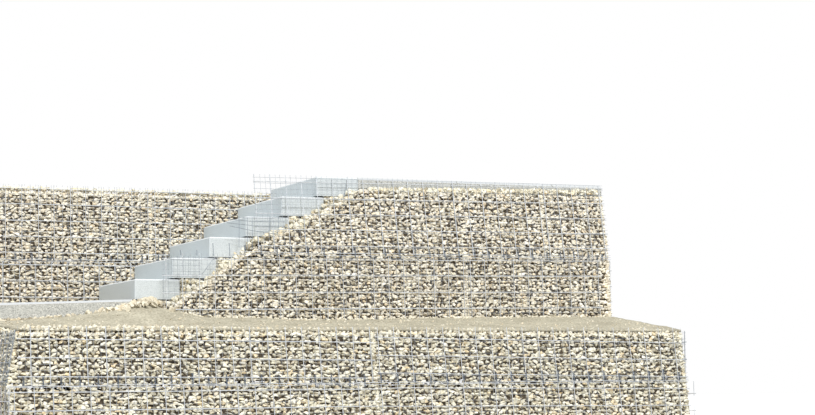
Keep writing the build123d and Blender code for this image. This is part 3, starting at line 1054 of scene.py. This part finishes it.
def looseEdges():
    # dusty stones where the sand meets the stones of both tiers; their darker colour is partly a sandy
    # dusting and partly painted shade
    rng = random.Random(13)
    stones = []
    for n in range(pebbles["rim"]):
        x = 0.05 + (wall["length"] - 0.1) * (n + rng.random()) / pebbles["rim"]
        row = n % 3
        size = rng.uniform(*pebbles["rimSize"])
        z = levelAt(x, fillLines["rim"]) + (-0.012, 0.002, 0.010)[row] + rng.uniform(-0.006, 0.006)
        y = lowerFace(z) + 0.010 + size * 0.5 + rng.random() * 0.02 + row * 0.018
        stones.append(looseStone(atWall(x, y, z), size, rng))
    for _ in range(pebbles["foot"]):
        x, size = rng.uniform(1.55, wall["length"] - 0.05), rng.uniform(*pebbles["footSize"])
        stones.append(looseStone(onSand(x, wall["terrace"] - rng.uniform(0.0, 0.030)), size, rng))
    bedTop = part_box("path_bed")[1][2]
    for _ in range(pebbles["bedEdge"]):
        size = rng.uniform(*pebbles["bedEdgeSize"])
        x, y = rng.uniform(0.03, 1.45), rearFace(bedTop) - rng.uniform(-0.012, 0.012)
        stones.append(looseStone(atWall(x, y, bedTop + size * 0.1), size, rng))
    meshPiece("dusty_edge_stones", scatter(stones), [dustyShadedMaterial])


sandCopy = bmesh.new()
sandCopy.from_mesh(sandBed.data)
sandTree = BVHTree.FromBMesh(sandCopy)
sandCopy.free()
pebblePiece()
looseSlope()
looseEdges()
print("sand and pebbles laid")


# Loose wires: ties, uprights that stand above the seam, and bent wires in front of the blocks
loose = {
    "ties": [[(2.02, 1.372, 1.858), (1.99, 1.352, 1.836), (1.945, 1.348, 1.775), (1.915, 1.352, 1.735),
              (1.90, 1.358, 1.715)],
             [(3.316, 1.500, 2.580), (3.305, 1.488, 2.530), (3.291, 1.482, 2.455)]],
    "stubFoot": 1.88, "stubs": ((1.713, 1.926), (1.861, 1.930), (2.012, 1.993), (2.163, 1.996)),
    "bent": [[(2.14, 2.215), (2.40, 2.196), (2.70, 2.200)], [(2.15, 2.180), (2.42, 2.156), (2.72, 2.150)],
             [(2.18, 2.150), (2.40, 2.110), (2.62, 2.086)], [(2.27, 2.240), (2.262, 2.10), (2.25, 1.96)],
             [(2.345, 2.235), (2.340, 2.10), (2.326, 1.946)],
             [(2.392, 2.235), (2.385, 2.10), (2.372, 1.947)],
             [(2.30, 2.228), (2.52, 2.230), (2.74, 2.238)], [(2.56, 2.24), (2.55, 2.15), (2.54, 2.06)],
             [(2.64, 2.24), (2.635, 2.16), (2.62, 2.09)]],
    "patch": ((1.632, 1.889), (1.690, 1.875)),
}


def looseWires():
    chains = [([atWall(*place) for place in tie], net["coarseWire"] * 0.7) for tie in loose["ties"]]
    foot = loose["stubFoot"]
    for x, top in loose["stubs"]:
        chains.append(([onUpper(x, z, 0.002) for z in (foot, (foot + top) / 2, top)], net["coarseWire"]))
    for wire in loose["bent"]:
        chains.append(([onUpper(x, z, 0.006) for x, z in wire], net["coarseWire"] * 0.7))
    (left, right), (low, high) = loose["patch"]
    chains += sheetNet(onUpper, ladder(left, right, net["fine"]), ladder(low, high, net["fine"]),
                       (left, right), (low, high), net["clearWire"], 0.001, random.Random(3))
    wirePiece("loose_wires", chains, material=bentMaterial)


looseWires()
print("loose wires placed")

for shapeObject in list(stoneShapes.objects):
    bpy.data.objects.remove(shapeObject)
bpy.data.collections.remove(stoneShapes)


# Studio: pale floor, white surroundings, one soft sun and a plain sky
studio = {"sky": 0.84, "sun": 3.25, "sunFrom": (-0.10, -0.67, 0.77), "softness": 5, "floor": 60,
          "floorShade": (0.36, 0.36, 0.36), "floorSeen": (0.82, 0.82, 0.82)}


def addSky():
    # plain light from the sky, white where the camera, a gloss or a clear surface sees it
    world = bpy.data.worlds.new("studio")
    bpy.context.scene.world = world
    world.use_nodes = True
    kit = NodeKit(world.node_tree)
    seen = kit.node("LightPath", out="Is Camera Ray") + kit.node("LightPath", out="Is Glossy Ray")
    seen = seen + kit.node("LightPath", out="Is Transmission Ray")
    level = kit.node("MapRange", sockets={"Value": seen, "To Min": studio["sky"], "To Max": 1.0})
    background = kit.tree.nodes["Background"]
    kit.feed(background.inputs["Color"], (1, 1, 1))
    kit.feed(background.inputs["Strength"], level)


def addSun():
    data = bpy.data.lights.new("sun", "SUN")
    data.energy = studio["sun"]
    data.angle = math.radians(studio["softness"])
    sun = bpy.data.objects.new("sun", data)
    sun.rotation_euler = Vector(studio["sunFrom"]).to_track_quat("Z", "Y").to_euler()
    bpy.context.collection.objects.link(sun)


def addFloor():
    finish = Finish("paleFloor", Roughness=1.0)
    seen = finish.node("LightPath", out="Is Camera Ray")
    finish.color(finish.mix(seen, studio["floorShade"], studio["floorSeen"]))
    bm = bmesh.new()
    bmesh.ops.create_grid(bm, x_segments=1, y_segments=1, size=studio["floor"])
    mesh = bpy.data.meshes.new("floor")
    bm.to_mesh(mesh)
    bm.free()
    mesh.materials.append(finish.material)
    floor = bpy.data.objects.new("floor", mesh)
    bpy.context.collection.objects.link(floor)


addSky()
addSun()
addFloor()
bpy.context.scene.view_settings.view_transform = "Standard"
shown = [o for o in bpy.data.objects if o.type == "MESH" and o.name not in allNodes]
print("triangles", sum(len(p.vertices) - 2 for o in shown for p in o.data.polygons))
